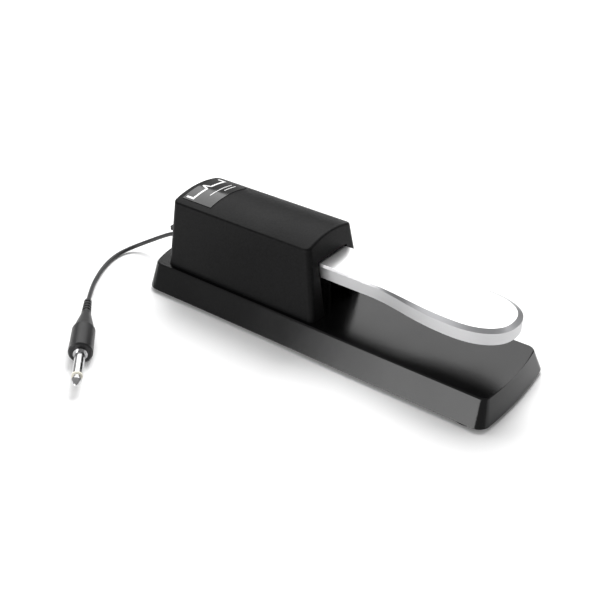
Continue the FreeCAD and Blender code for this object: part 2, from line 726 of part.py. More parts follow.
def pivot():
    """The steel pin, its two nylon bushes and clips, and the folded bracket."""
    axle = ("pivot_x", "pivot_z")
    grooves = []
    for order, low in enumerate(("16.3", "-17.2")):
        span = (low, low + " + 0.9")
        outer = rod("groove_outer_%d" % order, "y", "pin_radius + 1", span, axle)
        inner = rod("groove_inner_%d" % order, "y", "pin_radius - 0.6", span, axle)
        grooves.append(cut("pin_groove_%d" % order, outer, inner))
    pin = rod("pin_rod", "y", "pin_radius", ("-pin_reach", "pin_reach"), axle)
    keep("pivot_pin", cut("pin_part", pin, *grooves))
    for label, sign in (("left", -1), ("right", 1)):
        bush = turned("pivot_bush_%s_body" % label, [
            ("pin_radius + pin_fit", "0"), ("bush_radius", "0"), ("bush_radius", "5.25"),
            ("bush_flange", "5.25"), ("bush_flange", "6.2"), ("pin_radius + pin_fit", "6.2")])
        bush.Placement = Placement(Vector(), Rotation(Vector(1, 0, 0), -90 * sign))
        bind(bush, "Placement.Base.x", "pivot_x")
        bind(bush, "Placement.Base.y", "%d * (neck_half - 5)" % sign)
        bind(bush, "Placement.Base.z", "pivot_z")
        keep("pivot_bush_" + label, bush)
    clips = []
    for order, low in enumerate(("16.35", "-17.15")):
        span = (low, low + " + 0.8")
        ring = rod("clip_ring_%d" % order, "y", "5.2", span, axle)
        eye = rod("clip_eye_%d" % order, "y", "pin_radius - 0.58", span, axle)
        mouth = block("clip_mouth_%d" % order, ("pivot_x - 1.9", "pivot_x + 1.9"), span,
                      ("pivot_z - 8", "pivot_z"))
        clips.append(cut("clip_%d" % order, ring, eye, mouth))
    keep("retaining_clips", group("clip_group", *clips))


def pivot_bracket():
    """A U of folded steel that carries the pin between two ears."""
    added = [block("bracket_floor", ("pivot_x - 13.5", "pivot_x + 13.5"),
                   ("-ear_inside - ear_thick", "ear_inside + ear_thick"),
                   ("seat_height", "seat_height + 2"))]
    for order, low in enumerate(("ear_inside", "-ear_inside - ear_thick")):
        span = (low, "%s + ear_thick" % low)
        added.append(block("ear_plate_%d" % order, ("pivot_x - ear_radius", "pivot_x + ear_radius"),
                           span, ("seat_height", "pivot_z")))
        added.append(rod("ear_round_%d" % order, "y", "ear_radius", span, ("pivot_x", "pivot_z")))
    holes = [rod("pin_hole", "y", "pin_radius + 0.02", ("-20", "20"), ("pivot_x", "pivot_z"))]
    for order, (x, y) in enumerate(BRACKET_SCREWS):
        holes.append(rod("floor_hole_%d" % order, "z", "2.0", ("seat_height - 1", "seat_height + 3"),
                         (x, y)))
    keep("pivot_bracket", cut("bracket_part", join("bracket_solid", *added), *holes))
    keep("bracket_screws", group("bracket_screw_group", *[
        screw("bracket_screw_%d" % order, "z", 1.75, "9", 3.4, 2.0, (x, y, "seat_height + 2"), flip=-1)
        for order, (x, y) in enumerate(BRACKET_SCREWS)]))


# ------------------------------------------------------- spring and stops

def return_spring():
    """A compression spring of round wire with a closed, flat turn at each end."""
    radius, wire = number("spring_radius"), number("wire_radius")
    low, high = number("spring_low"), number("spring_high") - 0.15
    turns = number("spring_turns")
    height = high - low - 2 * wire
    coil = Part.makeHelix(height / turns, height, radius)
    ring = Part.Wire(Part.Circle(Vector(radius, 0, 0), Vector(0, 1, 0), wire).toShape())
    solid = Part.Wire(coil.Edges).makePipeShell([ring], True, True)
    place = Placement(Vector(number("spring_x"), 0, low + wire), Rotation())
    keep("return_spring", shaped("spring_wire", solid, place))
    keep("spring_seat", turned("spring_seat_body", [
        ("0", "seat_height"), ("8.6", "seat_height"), ("8.6", "spring_low"), ("4.7", "spring_low"),
        ("4.2", "spring_low + 3.5"), ("0", "spring_low + 3.5")]))
    bind(nodes["spring_seat"], "Placement.Base.x", "spring_x")


def stops():
    """Where the lever's travel ends: rubber below, felt above."""
    pad = turned("down_stop_body", [
        ("0", "stop_post_top"), ("stop_radius - 0.2", "stop_post_top"),
        ("stop_radius - 0.2", "stop_pad_top - 0.8"), ("stop_radius - 1", "stop_pad_top"),
        ("0", "stop_pad_top")])
    bind(pad, "Placement.Base.x", "stop_x")
    keep("down_stop_pad", pad)
    keep("up_stop_felt", block("felt_strip", ("stop_x - 6", "stop_x + 2"), ("-11", "11"),
                               ("lever_top + 0.12", "lever_top + 2.6")))


# ---------------------------------------------------------------- the switch

def switch_screw_places():
    return ("switch_rear + switch_screw_inset", "switch_rear + switch_length - switch_screw_inset")


def foot_switch():
    """A snap-action switch on its side wall, with a leaf and a plunger."""
    front = "switch_rear + switch_length"
    case = block("switch_case", ("switch_rear", front), ("-switch_half", "switch_half"),
                 ("switch_low", "switch_high"))
    lugs = [block("leaf_lug_%d" % order, ("leaf_pivot_x - 1.2", "leaf_pivot_x + 1.2"),
                  (low, low + " + 0.9"), ("switch_high - 1", "leaf_pivot_z + 0.9"))
            for order, low in enumerate(("2.6", "-3.5"))]
    holes = [rod("case_hole_%d" % order, "y", "1.4", ("-9", "9"), (x, "switch_screw_z"))
             for order, x in enumerate(switch_screw_places())]
    holes.append(rod("lug_hole", "y", "0.56", ("-4", "4"), ("leaf_pivot_x", "leaf_pivot_z")))
    holes.append(rod("plunger_bore", "z", "plunger_radius + 0.06", ("switch_high - 6", "switch_high + 1"),
                     ("plunger_x", "0")))
    keep("switch_body", cut("switch_part", join("switch_solid", case, *lugs), *holes))
    keep("switch_plunger", rod("plunger_rod", "z", "plunger_radius",
                               ("switch_high - 4", "plunger_top"), ("plunger_x", "0")))
    keep("switch_terminals", group("terminal_group", *[
        block("terminal_%d" % order, ("switch_rear - 6", "switch_rear"), ("-2", "2"),
              ("%s - 0.25" % z, "%s + 0.25" % z))
        for order, z in enumerate(("21.8", "26.6", "31.4"))]))
    keep("switch_screws", group("switch_screw_group", *[
        screw("switch_screw_%d" % order, "y", 1.25, "13", 2.4, 1.6, (x, "-switch_half", "switch_screw_z"))
        for order, x in enumerate(switch_screw_places())]))


def switch_leaf():
    """A strip of spring steel rolled round its little hinge barrel."""
    pivot_at = Vector(number("leaf_pivot_x"), 0, number("leaf_pivot_z"))
    tip = Vector(number("leaf_tip_x"), 0, number("leaf_tip_z"))
    reach = (tip - pivot_at).Length
    slope = math.degrees(math.atan2(tip.z - pivot_at.z, tip.x - pivot_at.x))
    strip = Part.makeBox(reach, 4.6, 0.4, Vector(0, -2.3, -0.4))
    barrel = Part.makeCylinder(0.5, 7.0, Vector(0, -3.5, 0), Vector(0, 1, 0))
    knuckle = Part.makeCylinder(0.75, 4.6, Vector(0, -2.3, 0), Vector(0, 1, 0))
    solid = strip.fuse([barrel, knuckle]).removeSplitter()
    place = Placement(pivot_at, Rotation(Vector(0, 1, 0), -slope))
    keep("switch_leaf", shaped("leaf_strip", solid, place))


def polarity_switch():
    """A slide switch at the rear wall that swaps open and closed at rest."""
    face = "polarity_face"
    width = ("polarity_y - 3.2", "polarity_y + 3.2")
    plate = block("polarity_plate", (face, face + " + 0.6"), width,
                  ("polarity_z - 10.2", "polarity_z + 10.2"))
    window = block("polarity_window", (face + " - 1", face + " + 3.5"),
                   ("polarity_y - 1.6", "polarity_y + 1.6"), ("polarity_z - 3.2", "polarity_z + 3.2"))
    case = block("polarity_case", (face + " + 0.6", face + " + 6.8"), width,
                 ("polarity_z - 6", "polarity_z + 6"))
    screw_levels = ("polarity_z - 8", "polarity_z + 8")
    screw_holes = [rod("polarity_plate_hole_%d" % order, "x", "1.15", (face + " - 1", face + " + 2"),
                       ("polarity_y", level)) for order, level in enumerate(screw_levels)]
    keep("polarity_switch", cut("polarity_part", join("polarity_solid", plate, case), window, *screw_holes))
    keep("polarity_slider", block(
        "polarity_knob", ("knob_end", face + " + 1"), ("polarity_y - 1.45", "polarity_y + 1.45"),
        ("polarity_rest - 1.5", "polarity_rest + 1.5")))
    keep("polarity_terminals", group("polarity_terminal_group", *[
        block("polarity_tag_%d" % order, (face + " + 6.8", face + " + 10.6"),
              ("polarity_y - 1.2", "polarity_y + 1.2"), (level + " - 0.2", level + " + 0.2"))
        for order, level in enumerate(("polarity_z - 4", "polarity_z", "polarity_z + 4"))]))
    keep("polarity_screws", group("polarity_screw_group", *[
        screw("polarity_screw_%d" % order, "x", 1.0, "3", 1.9, 1.2, (face + " + 0.6", "polarity_y", level),
              flip=-1)
        for order, level in enumerate(screw_levels)]))


# ---------------------------------------------------------- cord and plug

def cord_entry():
    """The moulded relief in the rear wall, the clamp, and the cord's inner end."""
    relief = turned("cord_grommet_body", [
        ("0", "0"), ("1.75", "0"), ("3.0", "relief_length"), ("0", "relief_length")])
    tilt = math.radians(number("relief_tilt"))
    run = number("relief_length")
    seat = Vector(-112.0, 0, number("cord_z"))
    nose = seat + Vector(-math.cos(tilt) * run, 0, -math.sin(tilt) * run)
    relief.Placement = Placement(nose, Rotation(Vector(0, 1, 0), 90 - number("relief_tilt")))
    collar = rod("grommet_collar", "x", "4.9", ("-113.9", "-112.35"), ("0", "cord_z"))
    neck = rod("grommet_neck", "x", "3.5", ("-113", "-109"), ("0", "cord_z"))
    flange = rod("grommet_flange", "x", "5.2", ("-109", "-107.8"), ("0", "cord_z"))
    keep("cord_grommet", join("grommet_part", relief, collar, neck, flange))
    keep("inner_cord", rod("inner_cord_rod", "x", "cord_radius", ("-107.8", "-92"), ("0", "cord_z")))
    bar = block("clamp_bar", ("clamp_x - 3", "clamp_x + 3"), ("-9", "9"),
                ("cord_z + 0.1", "cord_z + 3.2"))
    groove = rod("clamp_groove", "x", "cord_radius + 0.02", ("clamp_x - 4", "clamp_x + 4"),
                 ("0", "cord_z"))
    bar_holes = [rod("bar_hole_%d" % order, "z", "1.45", ("cord_z - 1", "cord_z + 5"), ("clamp_x", y))
                 for order, y in enumerate(("-6", "6"))]
    keep("cord_clamp", cut("clamp_part", bar, groove, *bar_holes))
    keep("clamp_screws", group("clamp_screw_group", *[
        screw("clamp_screw_%d" % order, "z", 1.25, "8", 2.4, 1.5, ("clamp_x", y, "cord_z + 3.2"), flip=-1)
        for order, y in enumerate(("-6", "6"))]))


def inner_wires():
    """Thin insulated wires from the switch and the cord to the slide switch."""
    tag_x = number("polarity_face") + 8.7
    tag_y = number("polarity_y") + 1.2 + SOLDER_GAP
    tags = [number("polarity_z") + step for step in (4, 0, -4)]
    tab_x = number("switch_rear") - 6 - SOLDER_GAP
    cord_x = -92.0 + SOLDER_GAP
    cord_z = number("cord_z")
    routes = [
        [(tab_x, 0.6, 31.4), (-77.0, -3.0, 31.6), (-88.0, -7.5, 34.0), (-99.5, -9.5, 39.5),
         (tag_x, tag_y, tags[0])],
        [(tab_x, 0.6, 26.6), (-77.0, -4.0, 26.8), (-88.0, -9.5, 30.5), (-97.0, -10.5, 37.0),
         (tag_x, tag_y, tags[1])],
        [(cord_x, -0.7, cord_z), (-87.5, -4.5, 27.0), (-87.8, -9.8, 28.8), (-94.5, -11.5, 33.0),
         (tag_x, tag_y, tags[2])],
        [(cord_x, 0.7, cord_z), (-86.5, 2.5, 25.0), (-78.0, 1.5, 21.6), (-74.5, 0.8, 21.2),
         (tab_x, 0.6, 21.8)],
    ]
    keep("inner_wires", group("wire_group", *[
        shaped("wire_%d" % order, tube_shape(route, 0.6)[0]) for order, route in enumerate(routes)]))


def cord():
    """The free cord that drops to the floor behind the housing and curls to the plug."""
    radius = number("cord_radius")
    solid, length, radii = tube_shape(CORD_ROUTE, radius)
    volume = math.pi * radius ** 2 * length
    print("cord length %.1f, volume ratio %.4f" % (length, solid.Volume / volume))
    print("lowest %.2f, bends %s" % (solid.BoundBox.ZMin, ", ".join("%.1f" % one for one in radii)))
    keep("cord", shaped("cord_tube", solid))


def place_on_plug(made, distance):
    """Stand a turned piece on the plug's axis, a distance along it."""
    start = Vector(number("plug_x"), number("plug_y"), number("plug_z"))
    turn = Rotation(Vector(0, 0, 1), PLUG_WAY)
    made.Placement = Placement(start + PLUG_WAY * distance, turn)


def plug_relief():
    """The ribbed rubber sleeve where the cord enters the plug."""
    count = 5
    pitch = number("relief_run") / count
    slope = (number("relief_front") - number("relief_back")) / number("relief_run")
    corners = [("0", "0")]
    for order in range(count):
        start = order * pitch
        rib_end = start + pitch * 0.62
        grow = number("relief_back") + slope * start
        end_size = number("relief_back") + slope * rib_end
        corners.append(("%.3f" % grow, "%.3f" % start))
        corners.append(("%.3f" % end_size, "%.3f" % rib_end))
        if order < count - 1:
            corners.append(("%.3f" % (end_size - 0.55), "%.3f" % rib_end))
            corners.append(("%.3f" % (end_size - 0.45), "%.3f" % (start + pitch)))
    corners.append(("relief_front", "relief_run"))
    corners.append(("0", "relief_run"))
    return turned("plug_relief_body", corners)


def plug():
    """The quarter-inch phone plug with its moulded grip."""
    relief = plug_relief()
    place_on_plug(relief, 0.0)
    keep("plug_strain_relief", relief)
    at = number("relief_run")
    grip = turned("plug_barrel_body", [
        ("0", "0"), ("relief_front", "0"), ("barrel_back - 0.5", "cone_run - 0.6"),
        ("barrel_back", "cone_run"), ("barrel_front", "cone_run + barrel_run - 0.9"),
        ("barrel_front - 0.9", "cone_run + barrel_run"), ("0", "cone_run + barrel_run")])
    place_on_plug(grip, at)
    keep("plug_barrel", grip)
    at += number("cone_run") + number("barrel_run")
    sleeve = turned("plug_sleeve_body", [
        ("0", "0"), ("sleeve_radius + 1.1", "0"), ("sleeve_radius + 1.1", "1.2"),
        ("sleeve_radius", "1.2"), ("sleeve_radius", "sleeve_run"), ("0", "sleeve_run")])
    place_on_plug(sleeve, at)
    keep("plug_sleeve", sleeve)
    at += number("sleeve_run")
    ring = turned("plug_insulator_body", [
        ("0", "0"), ("sleeve_radius", "0"), ("sleeve_radius", "ring_run"), ("0", "ring_run")])
    place_on_plug(ring, at)
    keep("plug_insulator", ring)
    at += number("ring_run")
    point = turned("plug_tip_body", [
        ("0", "0"), ("2.2", "0"), ("1.75", "1.9"), ("3.1", "3.7"), ("3.0", "4.4"),
        ("1.2", "tip_run - 0.6"), ("0.5", "tip_run"), ("0", "tip_run")])
    place_on_plug(point, at)
    keep("plug_tip", point)


base_tray()
bottom_plate()
rubber_feet()
top_cover()
label_plate()
pedal_lever()
pivot()
pivot_bracket()
return_spring()
stops()
foot_switch()
switch_leaf()
polarity_switch()
cord_entry()
inner_wires()
cord()
plug()
doc.recompute()

faults = [made.Label for made in doc.Objects if "Invalid" in made.State or "Error" in made.State]
faults += [label for label, made in nodes.items() if made.Shape.isNull() or not made.Shape.isValid()]
if faults:
    raise SystemExit("not whole: " + ", ".join(faults))
os.makedirs("parts", exist_ok=True)
for label, made in nodes.items():
    made.Shape.exportStep("parts/%s.step" % label)
print("%d sub-parts written" % len(nodes))
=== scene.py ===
# %% [markdown]
# # A sustain pedal
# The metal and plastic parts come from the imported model, which fixes every
# size. This script adds the camera, the free cord, the printed mark, the
# return spring, the finishes and the light, so that the pedal looks like a
# real product.

# %% Load the frame
import math
import bpy
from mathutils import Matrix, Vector


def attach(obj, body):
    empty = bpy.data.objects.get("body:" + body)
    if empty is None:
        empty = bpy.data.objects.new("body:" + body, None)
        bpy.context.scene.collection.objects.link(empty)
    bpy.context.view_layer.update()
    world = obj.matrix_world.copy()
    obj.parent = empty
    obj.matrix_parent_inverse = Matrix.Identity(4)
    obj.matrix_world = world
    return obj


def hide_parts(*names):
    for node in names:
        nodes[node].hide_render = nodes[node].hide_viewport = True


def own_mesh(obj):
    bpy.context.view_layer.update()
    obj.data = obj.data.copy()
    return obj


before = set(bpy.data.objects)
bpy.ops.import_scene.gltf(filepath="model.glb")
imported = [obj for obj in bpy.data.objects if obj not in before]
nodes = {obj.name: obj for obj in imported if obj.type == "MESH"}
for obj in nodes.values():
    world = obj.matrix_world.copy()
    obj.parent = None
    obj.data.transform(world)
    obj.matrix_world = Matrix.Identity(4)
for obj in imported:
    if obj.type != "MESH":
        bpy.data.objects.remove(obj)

MM = 0.001
scene = bpy.context.scene
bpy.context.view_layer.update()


def rounded(numbers):
    """Numbers short enough to print."""
    return [round(number, 4) for number in numbers]


# %% [markdown]
# The camera could be placed by eye. Working it out from two angles, a
# distance and a target keeps it easy to change, and the long lens keeps the
# pedal's sides nearly parallel, as a catalogue picture does.

# %% Camera
VIEW_AZIMUTH = math.radians(36.92)
VIEW_ELEVATION = math.radians(32.84)
VIEW_DISTANCE = 573.8 * MM
VIEW_TARGET = Vector((-3.46, -22.28, 25.0)) * MM
LENS_MM = 56.46
SENSOR_MM = 36.0
NEAREST_SEEN = 10 * MM

back = Vector((
    math.sin(VIEW_AZIMUTH) * math.cos(VIEW_ELEVATION),
    -math.cos(VIEW_AZIMUTH) * math.cos(VIEW_ELEVATION),
    math.sin(VIEW_ELEVATION),
))
camera_data = bpy.data.cameras.new("camera")
camera_data.lens = LENS_MM
camera_data.sensor_width = SENSOR_MM
camera_data.clip_start = NEAREST_SEEN
camera = bpy.data.objects.new("camera", camera_data)
scene.collection.objects.link(camera)
camera.location = VIEW_TARGET + back * VIEW_DISTANCE
camera.rotation_euler = (-back).to_track_quat("-Z", "Y").to_euler()
scene.camera = camera
print("camera at", rounded(camera.location))

# %% [markdown]
# The cord is a thin flexible lead. A tube swept along straight runs would
# look like bent wire, so it is one smooth NURBS line through listed points:
# out of the relief, down to the floor, round in a loose curve and up into the
# plug. The curve's bevel gives it a round section. Each point's radius is the
# cord's real one, so the bevel itself has a depth of one.

# %% The cord's route
CORD_DIAMETER = 2.8 * MM
CORD_ROUTE = [
    (-124.70, 0.0, 24.90),
    (-134.2, -0.1, 21.4),
    (-145.6, -0.4, 15.0),
    (-155.6, -1.2, 9.0),
    (-163.6, -4.4, 4.6),
    (-168.6, -11.0, 2.2),
    (-169.9, -20.0, 1.6),
    (-167.4, -31.5, 1.5),
    (-161.6, -44.5, 1.5),
    (-153.8, -57.0, 1.9),
    (-144.6, -67.6, 4.2),
    (-133.0, -80.2, 7.3),
]
STEPS_ROUND_SHEATH = 6
STEPS_ALONG_SHEATH = 10

line = bpy.data.curves.new("cord_sheath", "CURVE")
line.dimensions = "3D"
spline = line.splines.new("NURBS")
spline.points.add(len(CORD_ROUTE) - 1)
for point, place in zip(spline.points, CORD_ROUTE):
    point.co = (place[0] * MM, place[1] * MM, place[2] * MM, 1.0)
    point.radius = CORD_DIAMETER / 2
spline.order_u = 3
spline.use_endpoint_u = True
line.bevel_depth = 1.0
line.bevel_resolution = STEPS_ROUND_SHEATH
line.resolution_u = STEPS_ALONG_SHEATH
line.use_fill_caps = True
cord = bpy.data.objects.new("cord_sheath", line)
scene.collection.objects.link(cord)
print("cord points", len(CORD_ROUTE))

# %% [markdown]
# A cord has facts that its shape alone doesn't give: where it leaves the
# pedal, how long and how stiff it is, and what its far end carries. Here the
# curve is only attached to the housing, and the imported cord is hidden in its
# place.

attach(cord, "housing")
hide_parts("cord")

# %% [markdown]
# A printed label needs a mark, and lettering would tie the pedal to a maker.
# This one is the bracket line that sheet music uses for a held pedal, with
# two plain rules below it. A flat picture of it would need an image, so it is
# made of thin strips that are pressed onto the label's curve, as a foil
# transfer would be.

# %% Printed mark
STRIP_THICK = 0.05 * MM
ABOVE_LABEL = 67.5 * MM
SQUARES_ALONG_STRIP = 24
SQUARES_ACROSS_STRIP = 3
MARK_STRIPS = [
    # place in x, place in y, length, width, turn in degrees
    (-97.0, -8.35, 13.3, 1.5, 90.0),
    (-97.0, 8.35, 13.3, 1.5, 90.0),
    (-99.4, -15.0, 6.3, 1.5, 0.0),
    (-99.4, 15.0, 6.3, 1.5, 0.0),
    (-99.5, -1.0, 5.8, 1.3, -21.8),
    (-99.5, 1.0, 5.8, 1.3, 21.8),
    (-89.6, 3.0, 21.0, 0.6, 90.0),
    (-86.4, 8.0, 11.0, 0.6, 90.0),
]


def mark_strip(x, y, length, width, turn):
    """One flat strip above the label, fine enough to bend over it."""
    bpy.ops.object.select_all(action="DESELECT")
    bpy.ops.mesh.primitive_grid_add(
        x_subdivisions=SQUARES_ALONG_STRIP, y_subdivisions=SQUARES_ACROSS_STRIP, size=1.0)
    strip = bpy.context.object
    bpy.ops.transform.resize(value=(length * MM, width * MM, 1.0))
    bpy.ops.object.transform_apply(location=False, rotation=False, scale=True)
    strip.rotation_euler = (0, 0, math.radians(turn))
    strip.location = (x * MM, y * MM, ABOVE_LABEL)
    bpy.ops.object.transform_apply(location=True, rotation=True, scale=True)
    return strip


def printed_mark():
    """All strips as one piece, pressed down onto the label and thickened."""
    strips = [mark_strip(*size) for size in MARK_STRIPS]
    bpy.ops.object.select_all(action="DESELECT")
    for strip in strips:
        strip.select_set(True)
    bpy.context.view_layer.objects.active = strips[0]
    bpy.ops.object.join()
    mark = bpy.context.object
    mark.name = "label_mark"
    press = mark.modifiers.new("press", "SHRINKWRAP")
    press.target = nodes["label_plate"]
    press.wrap_method = "PROJECT"
    press.use_project_z = True
    press.use_negative_direction = True
    press.use_positive_direction = False
    bpy.ops.object.modifier_apply(modifier="press")
    thick = mark.modifiers.new("thick", "SOLIDIFY")
    thick.thickness = STRIP_THICK
    thick.offset = 1.0
    bpy.ops.object.modifier_apply(modifier="thick")
    return mark


label_mark = printed_mark()
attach(label_mark, "housing")
print("mark faces", len(label_mark.data.polygons))

# %% [markdown]
# The return spring is a coil of round steel wire under the lever. This one is
# a circle turned up a screw, and it takes the packed one's place.

# %% Return spring
WIRE_RADIUS = 0.8 * MM
WIRE_SIDES = 12
COIL_RADIUS = 6.4 * MM
COIL_TURNS = 6.5
STEPS_IN_A_TURN = 32
SPRING_X = -22.0 * MM
SPRING_LOW = 18.6 * MM
SPRING_HIGH = 43.75 * MM


def coil_spring():
    """A coil with closed ends, standing on its seat."""
    bpy.ops.object.select_all(action="DESELECT")
    bpy.ops.mesh.primitive_circle_add(
        vertices=WIRE_SIDES, radius=WIRE_RADIUS, rotation=(math.pi / 2, 0, 0),
        location=(COIL_RADIUS, 0, 0))
    coil = bpy.context.object
    coil.name = "coil_spring"
    bpy.ops.object.transform_apply(location=True, rotation=True, scale=True)
    turn = coil.modifiers.new("turn", "SCREW")
    turn.angle = 2 * math.pi * COIL_TURNS
    turn.screw_offset = SPRING_HIGH - SPRING_LOW - 2 * WIRE_RADIUS
    turn.steps = int(STEPS_IN_A_TURN * COIL_TURNS)
    turn.render_steps = turn.steps
    turn.use_merge_vertices = False
    bpy.ops.object.modifier_apply(modifier="turn")
    bpy.ops.object.mode_set(mode="EDIT")
    bpy.ops.mesh.select_all(action="SELECT")
    bpy.ops.mesh.fill_holes(sides=WIRE_SIDES)
    bpy.ops.mesh.select_all(action="SELECT")
    bpy.ops.mesh.normals_make_consistent(inside=False)
    bpy.ops.object.mode_set(mode="OBJECT")
    bpy.ops.object.shade_smooth()
    coil.location = (SPRING_X, 0, SPRING_LOW + WIRE_RADIUS)
    bpy.ops.object.transform_apply(location=True, rotation=True, scale=True)
    return coil


spring = coil_spring()
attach(spring, "housing")
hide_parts("return_spring")
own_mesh(spring)
print("spring faces", len(spring.data.polygons))

# %% [markdown]
# Every material is made the same way: one Principled shader and a few nodes
# around it. Small helpers keep that short. One turns an sRGB hex colour to
# the linear values that Blender computes with, and another adds a node with
# its settings, its values and its links. Mix nodes have sockets of the same
# name for each kind of value, so theirs are chosen by number.

# %% Material helpers
MIX_FACTOR = 0
NUMBER_A, NUMBER_B, NUMBER_OUT = 2, 3, 0
COLOUR_A, COLOUR_B, COLOUR_OUT = 6, 7, 2
NOISE_LOW, NOISE_HIGH = 0.3, 0.7


def linear(code):
    """An sRGB hex colour as linear RGBA, by the sRGB standard's curve."""
    parts = [int(code[index:index + 2], 16) / 255 for index in (0, 2, 4)]
    return [
        part / 12.92 if part <= 0.04045 else ((part + 0.055) / 1.055) ** 2.4 for part in parts
    ] + [1.0]


def add(tree, kind, settings=None, values=None, links=None):
    """A node of one kind, with its properties, socket values and links."""
    node = tree.nodes.new("ShaderNode" + kind)
    for name, setting in (settings or {}).items():
        setattr(node, name, setting)
    for name, value in (values or {}).items():
        node.inputs[name].default_value = value
    for name, source in (links or {}).items():
        tree.links.new(source, node.inputs[name])
    return node


def start(name, **values):
    """A new material with its shader, its tree and its object coordinates."""
    material = bpy.data.materials.new(name)
    material.use_nodes = True
    tree = material.node_tree
    shader = tree.nodes["Principled BSDF"]
    for key, value in values.items():
        socket = key.replace("_", " ").title().replace("Ior", "IOR")
        shader.inputs[socket].default_value = value
    place = add(tree, "TexCoord").outputs["Object"]
    return material, tree, shader, place


def wire_up(tree, shader, colour, roughness, normal):
    """The three patterns that every finish gives its shader."""
    tree.links.new(colour, shader.inputs["Base Color"])
    tree.links.new(roughness, shader.inputs["Roughness"])
    tree.links.new(normal, shader.inputs["Normal"])


def per_metre(size_mm):
    """A noise scale whose grains are about this many millimetres wide."""
    return 1000.0 / size_mm


def stretch(from_low, from_high, low, high):
    """Values for a map from one range to another."""
    return {"From Min": from_low, "From Max": from_high, "To Min": low, "To Max": high}


def noise_to(low, high):
    """The same for a noise, which seldom leaves the middle of its range."""
    return stretch(NOISE_LOW, NOISE_HIGH, low, high)


# %% [markdown]
# The base and the housing are ABS, moulded in a spark-eroded tool. The tool
# leaves a fine leather-like grain that breaks reflections into a soft sheen,
# and the grain is what separates moulded plastic from a flat black. A fine
# noise gives the grain and a broad one a slight change in gloss. The real
# grain is about 0.3 mm wide, too fine to show from here, so it is drawn
# about four times as coarse. The housing came from a duller tool than the
# base, so it mirrors less and its grain is deeper.

# %% Moulded ABS
ABS_IOR = 1.52
ABS_RELIEF = 0.55
CLOUD_MM = 35.0


def moulded_abs(name, dark, light, gloss_low, gloss_high, grain_mm, depth_mm, mirror):
    """Grained black plastic with a slowly changing gloss."""
    material, tree, shader, place = start(name, ior=ABS_IOR, specular_ior_level=mirror)
    grain = add(
        tree, "TexNoise", values={"Scale": per_metre(grain_mm), "Detail": 3.0, "Roughness": 0.6},
        links={"Vector": place}).outputs["Fac"]
    cloud = add(
        tree, "TexNoise", values={"Scale": per_metre(CLOUD_MM), "Detail": 2.0},
        links={"Vector": place}).outputs["Fac"]
    amount = add(tree, "MapRange", values=noise_to(0.0, 1.0), links={"Value": grain})
    colour = add(
        tree, "Mix", {"data_type": "RGBA"}, {COLOUR_A: linear(dark), COLOUR_B: linear(light)},
        {MIX_FACTOR: amount.outputs["Result"]})
    gloss = add(tree, "MapRange", values=noise_to(gloss_low, gloss_high), links={"Value": cloud})
    relief = add(
        tree, "Bump", values={"Strength": ABS_RELIEF, "Distance": depth_mm * MM},
        links={"Height": grain})
    wire_up(tree, shader, colour.outputs[COLOUR_OUT], gloss.outputs["Result"],
            relief.outputs["Normal"])
    return material


housing_abs = moulded_abs(
    "abs_moulded_fine_grain", "060606", "101011", gloss_low=0.36, gloss_high=0.44,
    grain_mm=1.2, depth_mm=0.17, mirror=0.09)
base_abs = moulded_abs(
    "abs_moulded_base", "060606", "0d0d0e", gloss_low=0.17, gloss_high=0.22,
    grain_mm=1.1, depth_mm=0.06, mirror=0.3)
inner_abs = moulded_abs(
    "abs_switch_case", "161617", "222224", gloss_low=0.35, gloss_high=0.45,
    grain_mm=0.6, depth_mm=0.03, mirror=0.25)
print("plastics", [one.name for one in (housing_abs, base_abs, inner_abs)])

# %% [markdown]
# The lever is die-cast, ground, then nickel-chrome plated. Its flat top has a
# satin haze and is given a brighter colour as a painted highlight. The bevel
# round it is given a greyer colour as painted shade, the sides are linished
# along the edge, so they scatter light across fine lines, and the hollow
# underside is given a dark colour as painted shade. Separate materials would
# need groups of faces on a mesh that must stay as it is, so the height and the
# surface's own normal tell these places apart.

# %% Where the lever's gloss, painted highlight and painted shade change
LEVER_TOP = 51.0 * MM
TOP_FROM = LEVER_TOP - 0.15 * MM
TOP_FULL = LEVER_TOP - 0.05 * MM
UPWARD_FROM, UPWARD_FULL = 0.25, 0.6
DOWNWARD_FULL, DOWNWARD_FROM = -0.5, -0.2


def lever_zones(tree, place):
    """How much each point looks up, sideways or down, or is on the flat top."""
    normal = add(tree, "NewGeometry").outputs["True Normal"]
    facing = add(tree, "SeparateXYZ", links={"Vector": normal}).outputs["Z"]
    height = add(tree, "SeparateXYZ", links={"Vector": place}).outputs["Z"]
    upward = add(
        tree, "MapRange", values=stretch(UPWARD_FROM, UPWARD_FULL, 0.0, 1.0),
        links={"Value": facing}).outputs["Result"]
    sideways = add(
        tree, "MapRange", values=stretch(UPWARD_FROM, UPWARD_FULL, 1.0, 0.0),
        links={"Value": facing}).outputs["Result"]
    # Where the underside's painted shade goes.
    underside_shade_mask = add(
        tree, "MapRange", values=stretch(DOWNWARD_FULL, DOWNWARD_FROM, 1.0, 0.0),
        links={"Value": facing}).outputs["Result"]
    # Where the flat top's painted highlight goes.
    top_highlight_mask = add(
        tree, "MapRange", values=stretch(TOP_FROM, TOP_FULL, 0.0, 1.0),
        links={"Value": height}).outputs["Result"]
    return upward, sideways, underside_shade_mask, top_highlight_mask


print("flat top from", round(TOP_FROM / MM, 2), "mm up")

# %% [markdown]
# The plate itself is one metal whose colour is mixed from zone to zone as
# painted light: a painted highlight on the flat top and painted shade on the
# bevel and the underside. The linishing lines are a noise drawn out level with
# the floor, since the belt runs along the edge. They roughen the sides and
# leave the top alone.

# %% Plated lever
LINE_MM = 0.35
LINE_STRETCH = (0.06, 0.06, 1.0)
SIDE_GLOSS = (0.30, 0.46)
TOP_GLOSS = 0.3
